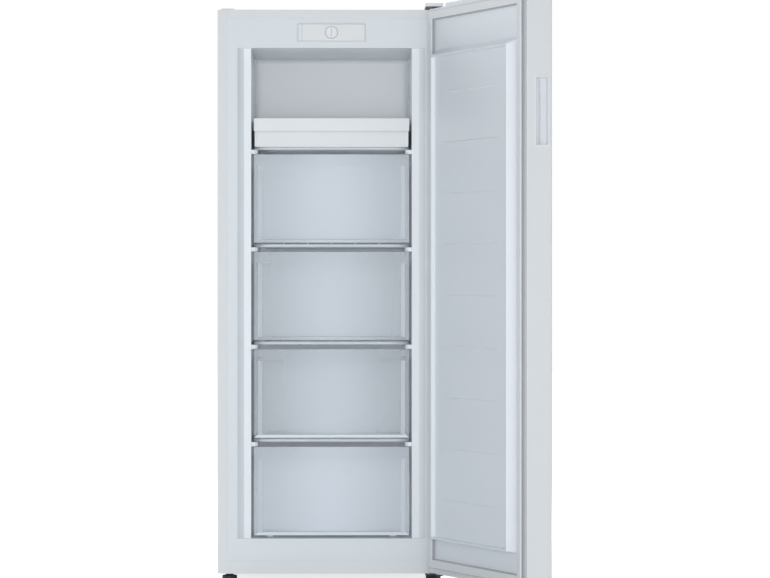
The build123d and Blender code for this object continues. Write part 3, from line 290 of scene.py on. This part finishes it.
# Inner liner: one vacuum-formed sheet of glossy white plastic with the ledges that the shelves lie on.
# Its inside is painted lighter than its flange, from 2 mm to 30 mm behind the front, as painted light.
def colour_by_depth():
    """A colour that gives way to another one deeper along a direction."""
    group = node_group(
        "colour_by_depth",
        [
            ("Near colour", "NodeSocketColor", (0.8, 0.8, 0.8, 1)),
            ("Deep colour", "NodeSocketColor", (0.4, 0.4, 0.4, 1)),
            ("Direction", "NodeSocketVector", (0, 0, -1)),
            ("Near", "NodeSocketFloat", 0),
            ("Deep", "NodeSocketFloat", 0.001),
        ],
        [("Colour", "NodeSocketColor")],
    )
    source = group.nodes.new("NodeGroupInput")
    sink = group.nodes.new("NodeGroupOutput")
    where = group.nodes.new("ShaderNodeTexCoord")
    along = group.nodes.new("ShaderNodeVectorMath")
    along.operation = "DOT_PRODUCT"
    group.links.new(where.outputs["Object"], along.inputs[0])
    group.links.new(source.outputs["Direction"], along.inputs[1])
    share = group.nodes.new("ShaderNodeMapRange")
    group.links.new(along.outputs["Value"], share.inputs["Value"])
    group.links.new(source.outputs["Near"], share.inputs["From Min"])
    group.links.new(source.outputs["Deep"], share.inputs["From Max"])
    blend = group.nodes.new("ShaderNodeMix")
    blend.data_type = "RGBA"
    group.links.new(share.outputs["Result"], blend.inputs["Factor"])
    group.links.new(source.outputs["Near colour"], blend.inputs["A"])
    group.links.new(source.outputs["Deep colour"], blend.inputs["B"])
    group.links.new(blend.outputs["Result"], sink.inputs["Colour"])
    return group


depth_colour = colour_by_depth()


def deepen(material, deep_colour, direction, near, deep):
    """Lets a finish's colour turn into another one between two depths along a direction."""
    tree = material.node_tree
    base = tree.nodes["Principled BSDF"].inputs["Base Color"]
    group = tree.nodes.new("ShaderNodeGroup")
    group.node_tree = depth_colour
    tree.links.new(base.links[0].from_socket, group.inputs["Near colour"])
    group.inputs["Deep colour"].default_value = (*deep_colour, 1)
    group.inputs["Direction"].default_value = direction
    group.inputs["Near"].default_value = near
    group.inputs["Deep"].default_value = deep
    tree.links.new(group.outputs["Colour"], base)


liner = finish("liner_plastic", (0.745, 0.785, 0.82), (0.735, 0.775, 0.81), 3, 700, 0.22, 0.06, 0.05)
# Painted light: the colour turns whiter from 2 mm to 30 mm behind the front, for light reaching into the cavity.
deepen(liner, (0.90, 0.935, 0.965), (0, 1, 0), front + 0.002, front + 0.03)
wear(liner, "inner_liner")

# Compressor bay: a black welded can on rubber feet, its relay cover, and soldered copper pipes.
enamel = finish("black_enamel", (0.018, 0.018, 0.02), (0.026, 0.026, 0.028), 14, 350, 0.35, 0.1, 0.25)
wear(enamel, "compressor")
black_plastic = finish("black_plastic", (0.022, 0.022, 0.023), (0.03, 0.03, 0.031), 20, 700, 0.5, 0.1, 0.4)
wear(black_plastic, "relay_cover", "thermostat_body", "rear_feet")
wear(black_plastic, "front_foot_left", "front_foot_right")
rubber = finish("black_rubber", (0.02, 0.02, 0.02), (0.03, 0.03, 0.03), 30, 800, 0.75, 0.1, 0.5)
wear(rubber, "compressor_grommets")
copper = finish("copper", (0.78, 0.36, 0.20), (0.50, 0.22, 0.13), 25, 500, 0.33, 0.2, 0.1, metallic=1)
wear(copper, "suction_pipe", "discharge_pipe", "filter_drier", "drier_pipe", "capillary")
plated = finish("plated_steel", (0.62, 0.62, 0.62), (0.5, 0.5, 0.49), 60, 900, 0.35, 0.15, 0.1, metallic=1)
wear(plated, "compressor_studs", "thermostat_shaft", "top_hinge_pin", "bottom_hinge_pin")
for name in ("suction_pipe", "discharge_pipe", "drier_pipe"):
    round_edges(copied(name), name, 0.0009)
for name in ("compressor_grommets", "relay_cover", "rear_feet"):
    round_edges(copied(name), name, 0.001)
for name in ("front_foot_left", "front_foot_right"):
    round_edges(copied(name), name, 0.0006)

# Evaporator shelves: the cold tube, bent to and fro, with wires welded across, coated white.
cold_white = finish("coated_tube", (0.80, 0.845, 0.89), (0.72, 0.765, 0.81), 40, 700, 0.4, 0.15, 0.3)
for number in range(1, 5):
    wear(cold_white, f"evaporator_shelf_{number}")
    round_edges(copied(f"evaporator_shelf_{number}"), f"evaporator_shelf_{number}", 0.0011)

# Control panel over the door opening: a white snap-in plate and the thermostat's knob.
white_plastic = finish("white_plastic", (0.82, 0.845, 0.87), (0.805, 0.83, 0.86), 12, 500, 0.36, 0.06, 0.1)
wear(white_plastic, "thermostat_knob", "top_hinge_cover", "hinge_hole_cover")
wear(white_plastic, "door_cap_top", "door_cap_bottom", "hinge_bushes")
panel_plastic_with_painted_shade = finish("panel_plastic_with_painted_shade", (0.785, 0.805, 0.82), (0.77, 0.79, 0.805), 12, 500, 0.36, 0.06, 0.1)
panel_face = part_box("control_fascia")[0][1]
# Painted shade: the colour turns dark grey 0.4 to 0.7 mm behind the plate's face, in its grooves and in the well
# around the knob.
deepen(panel_plastic_with_painted_shade, (0.56, 0.575, 0.60), (0, 1, 0), panel_face + 0.0004, panel_face + 0.0007)
wear(panel_plastic_with_painted_shade, "control_fascia")
for name, width in (
    ("control_fascia", 0.0003),
    ("top_hinge_cover", 0.0006),
    ("hinge_hole_cover", 0.0008),
    ("door_cap_top", 0.0008),
    ("door_cap_bottom", 0.0008),
):
    round_edges(copied(name), name, width)

knob = round_edges(copied("thermostat_knob"), "thermostat_knob", 0.0005)
pointer_paint = finish("pointer_paint", (0.60, 0.61, 0.64), (0.57, 0.58, 0.61), 80, 900, 0.45, 0.05, 0.1)
knob.data.materials.append(pointer_paint)
knob_front = min(vertex.co.y for vertex in knob.data.vertices)
pointer_depth = 0.0002
for face in knob.data.polygons:
    if face.center.y < knob_front + pointer_depth:
        face.material_index = 1

# Tray: opaque white moulding that slides on the top shelf.
tray_white = finish("tray_plastic", (0.815, 0.84, 0.86), (0.80, 0.825, 0.845), 8, 600, 0.42, 0.06, 0.15)
wear(tray_white, "freezer_tray")
round_edges(copied("freezer_tray"), "freezer_tray", 0.0009)


# Drawers: each is a clear front welded to a clear tub. The plastic is slightly hazy and blue. The window is
# painted milkier in the middle, and not equally so in all four, as a painted sheen; the frame's thick edges are a
# painted highlight and the grip rail painted shade.
def clear_plastic(name, colour, roughness, middle_alpha, side_alpha):
    """A hazy see-through plastic, which can be made milkier in the middle of its width as a painted sheen, and
    lets most of the light through.
    """
    made = finish(name, colour, tuple(0.96 * part for part in colour), 6, 350, roughness, 0.08, 0.1)
    tree = made.node_tree
    shader = tree.nodes["Principled BSDF"]
    shader.inputs["IOR"].default_value = 1.49
    where = tree.nodes.new("ShaderNodeTexCoord")
    axes = tree.nodes.new("ShaderNodeSeparateXYZ")
    tree.links.new(where.outputs["Object"], axes.inputs["Vector"])
    aside = tree.nodes.new("ShaderNodeMath")
    aside.operation = "SUBTRACT"
    aside.inputs[1].default_value = middle
    tree.links.new(axes.outputs["X"], aside.inputs[0])
    distance = tree.nodes.new("ShaderNodeMath")
    distance.operation = "ABSOLUTE"
    tree.links.new(aside.outputs[0], distance.inputs[0])
    sheen_alpha = tree.nodes.new("ShaderNodeMapRange")
    sheen_alpha.interpolation_type = "SMOOTHSTEP"
    sheen_alpha.inputs["From Max"].default_value = 0.17
    sheen_alpha.inputs["To Min"].default_value = middle_alpha
    sheen_alpha.inputs["To Max"].default_value = side_alpha
    tree.links.new(distance.outputs[0], sheen_alpha.inputs["Value"])
    path = tree.nodes.new("ShaderNodeLightPath")
    passing = tree.nodes.new("ShaderNodeMapRange")
    passing.inputs["To Min"].default_value = 1
    passing.inputs["To Max"].default_value = 0.3
    tree.links.new(path.outputs["Is Shadow Ray"], passing.inputs["Value"])
    alpha = tree.nodes.new("ShaderNodeMath")
    alpha.operation = "MULTIPLY"
    tree.links.new(sheen_alpha.outputs["Result"], alpha.inputs[0])
    tree.links.new(passing.outputs["Result"], alpha.inputs[1])
    tree.links.new(alpha.outputs[0], shader.inputs["Alpha"])
    return made


# Painted shade: a darker grey copy of the plastic for the drawer's grip rail.
clear_rail_painted_shade = clear_plastic("clear_rail_painted_shade", (0.37, 0.40, 0.44), 0.18, 0.5, 0.5)
# Painted highlight: a lighter, less clear copy of the plastic for the frame's side strips and foot.
clear_edge_painted_highlight = clear_plastic("clear_edge_painted_highlight", (0.86, 0.91, 0.96), 0.14, 0.85, 0.85)
clear_tub = clear_plastic("clear_tub", (0.82, 0.875, 0.94), 0.2, 0.36, 0.36)
grip_height = 0.0255
frame_inside, frame_outside = 0.1685, 0.1785
frame_foot = 0.0095
# The milkier middles, and their differences between the four drawers, are a painted sheen of the light in front.
for number, middle_sheen_alpha, side_sheen_alpha in ((1, 0.59, 0.36), (2, 0.50, 0.28), (3, 0.45, 0.23), (4, 0.62, 0.37)):
    name = f"drawer_{number}_front"
    window = clear_plastic(f"clear_window_{number}", (0.82, 0.875, 0.94), 0.16, middle_sheen_alpha, side_sheen_alpha)
    wear(window, name)
    piece = round_edges(copied(name), name, 0.0009)
    piece.data.materials.append(clear_rail_painted_shade)
    piece.data.materials.append(clear_edge_painted_highlight)
    low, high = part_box(name)
    for face in piece.data.polygons:
        aside = abs(face.center.x - middle)
        # Grip rail faces take the darker painted-shade plastic; the frame strips and foot take the lighter
        # painted-highlight plastic.
        if face.center.z > high[2] - grip_height:
            face.material_index = 1
        elif frame_inside < aside < frame_outside or face.center.z < low[2] + frame_foot:
            face.material_index = 2
    wear(clear_tub, f"drawer_{number}_tub")
    round_edges(copied(f"drawer_{number}_tub"), f"drawer_{number}_tub", 0.0007)

# Door: painted steel skin, plastic end caps and the vacuum-formed inner panel. The panel's nine cross ribs
# are low ridges with soft ends, and they lie a little lower here than on the solid.
wear(white_paint, "door_skin")
round_edges(copied("door_skin"), "door_skin", 0.0003, 1)
door_panel = finish("door_panel_plastic", (0.81, 0.85, 0.89), (0.795, 0.835, 0.88), 3, 700, 0.32, 0.06, 0.05)
wear(door_panel, "door_inner_panel")
pin_low, pin_high = (Vector(corner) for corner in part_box("top_hinge_pin"))
pivot = (pin_low + pin_high) / 2
opening = math.radians(112)
door_inwards = Vector((-math.sin(opening), math.cos(opening), 0))
door_face = pivot.dot(door_inwards) + 0.020
panel = copied("door_inner_panel")
rib_top = door_face + 0.0166
rib_ridge = 0.05
rib_drop = 0.016
for rib in [face.center.copy() for face in panel.data.polygons]:
    if abs(rib.dot(door_inwards) - rib_top) > 0.0002:
        continue
    bpy.ops.object.mode_set(mode="EDIT")
    bpy.ops.mesh.select_all(action="DESELECT")
    bpy.ops.object.mode_set(mode="OBJECT")
    for face in panel.data.polygons:
        face.select = (face.center - rib).length < 0.001
    bpy.ops.object.mode_set(mode="EDIT")
    bpy.ops.transform.resize(value=(0.97, 0.97, rib_ridge), center_override=rib)
    bpy.ops.mesh.select_more()
    bpy.ops.transform.translate(value=(0, 0, -rib_drop))
    bpy.ops.object.mode_set(mode="OBJECT")
round_edges(panel, "door_inner_panel", 0.0005, smooth=12)

# Door seal: soft grey vinyl with a magnet strip inside its bulb. It is painted darker towards its folded neck, as
# painted shade where the light doesn't reach.
seal = finish("seal_vinyl_painted_shade", (0.79, 0.815, 0.835), (0.76, 0.785, 0.805), 10, 500, 0.5, 0.08, 0.15)
# Painted shade: the grey darkens from 10.5 mm above the door's inner face down to 1 mm above it.
deepen(seal, (0.54, 0.56, 0.58), -door_inwards, -door_face - 0.0105, -door_face - 0.001)
wear(seal, "door_gasket")
gasket = copied("door_gasket")
bulb_top = door_face + 0.011
for face in gasket.data.polygons:
    face.select = face.center.dot(door_inwards) > bulb_top
bpy.ops.object.mode_set(mode="EDIT")
bpy.ops.mesh.select_mode(type="FACE")
bpy.ops.mesh.inset(thickness=0.003, depth=-0.0009)
bpy.ops.object.mode_set(mode="OBJECT")
round_edges(gasket, "door_gasket", 0.0005)

# Handle: a cup moulded in white plastic and snapped into the door's free edge, with a small raised rim.
# Its inside is painted a little darker with depth, as painted shade in the recess.
cup_plastic_painted_shade = finish("cup_plastic_painted_shade", (0.80, 0.825, 0.85), (0.785, 0.81, 0.84), 12, 500, 0.34, 0.06, 0.1)
door_outwards = Vector((-math.cos(opening), -math.sin(opening), 0))
free_edge = pivot.dot(door_outwards) + 0.535
# Painted shade: the colour darkens from the edge plane to 12 mm into the cup.
deepen(cup_plastic_painted_shade, (0.73, 0.755, 0.785), -door_outwards, -free_edge - 0.0008, -free_edge + 0.012)
wear(cup_plastic_painted_shade, "handle_cup")
round_edges(copied("handle_cup"), "handle_cup", 0.0004, 1)

# Hinges: black painted plates screwed to the cabinet, under a white cap at the top.
hinge_black = finish("hinge_paint", (0.03, 0.03, 0.032), (0.045, 0.045, 0.046), 30, 600, 0.45, 0.1, 0.2)
wear(hinge_black, "top_hinge_plate", "bottom_hinge_plate", "hinge_screws")

bpy.context.view_layer.update()
